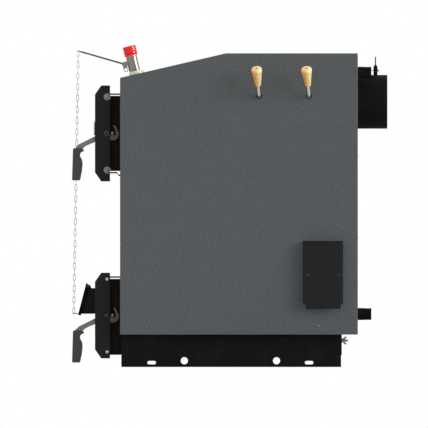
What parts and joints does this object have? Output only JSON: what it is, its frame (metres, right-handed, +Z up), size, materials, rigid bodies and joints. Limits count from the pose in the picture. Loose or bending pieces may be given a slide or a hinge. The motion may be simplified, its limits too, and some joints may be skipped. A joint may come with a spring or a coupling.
{
  "type": "solid fuel boiler",
  "caption": "Floor-standing steel solid fuel boiler in an insulated grey casing, with a loading door, an ash door with a chain-lifted air flap, side levers, pipe stubs and a flue spigot.",
  "frame": {"origin": "on the floor, at the middle of the front edge of the base", "axes": "+X to the right when facing the doors, +Y from the doors to the flue, +Z up"},
  "size_m": [0.6681, 1.113, 1.1373],
  "materials": {
    "boiler_black": "matt heat-resistant paint",
    "casing_grey": "fine textured powder coat",
    "door_charcoal": "textured powder coat",
    "cover_charcoal": "satin powder coat",
    "hinge_steel": "dark steel",
    "latch_steel": "dull steel",
    "grip_plastic": "matt black plastic",
    "grate_iron": "raw casting",
    "insulation_board": "pressed mineral board",
    "sealing_rope": "braided glass rope",
    "zinc": "zinc plated",
    "regulator_metal": "satin metal",
    "knob_red": "glossy red plastic",
    "thermometer_white": "pale case",
    "lever_steel": "bright steel rod",
    "handle_wood": "turned, varnished wood"
  },
  "bodies": {
    "boiler": {"base_rails": "boiler_black", "base_crossbars": "boiler_black", "jacket_sides": "boiler_black", "jacket_back": "boiler_black", "jacket_front": "boiler_black", "jacket_top": "boiler_black", "jacket_floor": "boiler_black", "firebox_baffle": "boiler_black", "grate": "grate_iron", "upper_neck": "boiler_black", "lower_neck": "boiler_black", "hinge_straps": "hinge_steel", "casing_right": "casing_grey", "casing_left": "casing_grey", "casing_top": "casing_grey", "casing_back": "casing_grey", "casing_front": "casing_grey", "side_cover": "cover_charcoal", "flue_spigot": "boiler_black", "pipe_stubs": "boiler_black", "rear_hatch": "boiler_black", "hatch_wing_nuts": "zinc", "regulator_body": "regulator_metal", "thermometer": "thermometer_white"},
    "upper_door": {"upper_door": "door_charcoal", "upper_door_liner": "insulation_board", "upper_door_rope": "sealing_rope"},
    "upper_latch": {"upper_latch": "latch_steel", "upper_grip": "grip_plastic"},
    "lower_door": {"lower_door": "door_charcoal", "lower_door_liner": "insulation_board", "lower_door_rope": "sealing_rope", "air_duct": "boiler_black"},
    "lower_latch": {"lower_latch": "latch_steel", "lower_grip": "grip_plastic"},
    "air_flap": {"air_flap": "boiler_black"},
    "regulator_knob": {"regulator_knob": "knob_red"},
    "regulator_lever": {"regulator_lever": "latch_steel"},
    "regulator_chain": {"regulator_chain": "zinc"},
    "front_side_lever": {"front_side_lever": "lever_steel", "front_wood_handle": "handle_wood"},
    "rear_side_lever": {"rear_side_lever": "lever_steel", "rear_wood_handle": "handle_wood"},
    "flue_damper": {"flue_damper": "latch_steel"}
  },
  "joints": [
    {"name": "upper_door_swing", "type": "hinge", "parent": "boiler", "child": "upper_door", "pos_m": [-0.25, -0.0519, 0.8246], "axis": [0, 0, -1], "range_deg": [0, 110], "deforming": ["regulator_chain"]},
    {"name": "upper_latch_lift", "type": "hinge", "parent": "upper_door", "child": "upper_latch", "pos_m": [0.224, -0.0518, 0.8246], "axis": [-1, 0, 0], "range_deg": [0, 65]},
    {"name": "lower_door_swing", "type": "hinge", "parent": "boiler", "child": "lower_door", "pos_m": [-0.25, -0.0519, 0.1817], "axis": [0, 0, -1], "range_deg": [0, 110], "deforming": ["regulator_chain"]},
    {"name": "lower_latch_lift", "type": "hinge", "parent": "lower_door", "child": "lower_latch", "pos_m": [0.224, -0.0518, 0.1817], "axis": [-1, 0, 0], "range_deg": [0, 65]},
    {"name": "regulator_lever_lift", "type": "hinge", "parent": "boiler", "child": "regulator_lever", "pos_m": [-0.12, 0.01111, 1.06903], "axis": [-1, 0, 0], "range_deg": [0, 20]},
    {"name": "chain_swing", "type": "hinge", "parent": "regulator_lever", "child": "regulator_chain", "pos_m": [-0.12, -0.15202, 1.11581], "axis": [-1, 0, 0], "range_deg": [-16, 0]},
    {"name": "air_flap_lift", "type": "hinge", "parent": "lower_door", "child": "air_flap", "pos_m": [-0.12, -0.1157, 0.2857], "axis": [-1, 0, 0], "range_deg": [0, 42]},
    {"name": "regulator_knob_turn", "type": "hinge", "parent": "boiler", "child": "regulator_knob", "pos_m": [-0.12, 0.03116, 1.11545], "axis": [0, -0.2255, 0.9742], "range_deg": [0, 270]},
    {"name": "front_side_lever_turn", "type": "hinge", "parent": "boiler", "child": "front_side_lever", "pos_m": [0.265, 0.487, 0.9568], "axis": [1, 0, 0], "range_deg": [0, 84]},
    {"name": "rear_side_lever_turn", "type": "hinge", "parent": "boiler", "child": "rear_side_lever", "pos_m": [0.265, 0.663, 0.9568], "axis": [1, 0, 0], "range_deg": [0, 84]},
    {"name": "flue_damper_turn", "type": "hinge", "parent": "boiler", "child": "flue_damper", "pos_m": [0, 0.8974, 0.9362], "axis": [0, 0, 1], "range_deg": [0, 90]}
  ],
  "couplings": [
    {"joint": "air_flap_lift", "follows": "regulator_lever_lift", "ratio": 2.039},
    {"joint": "chain_swing", "follows": "regulator_lever_lift", "ratio": -0.7648}
  ]
}
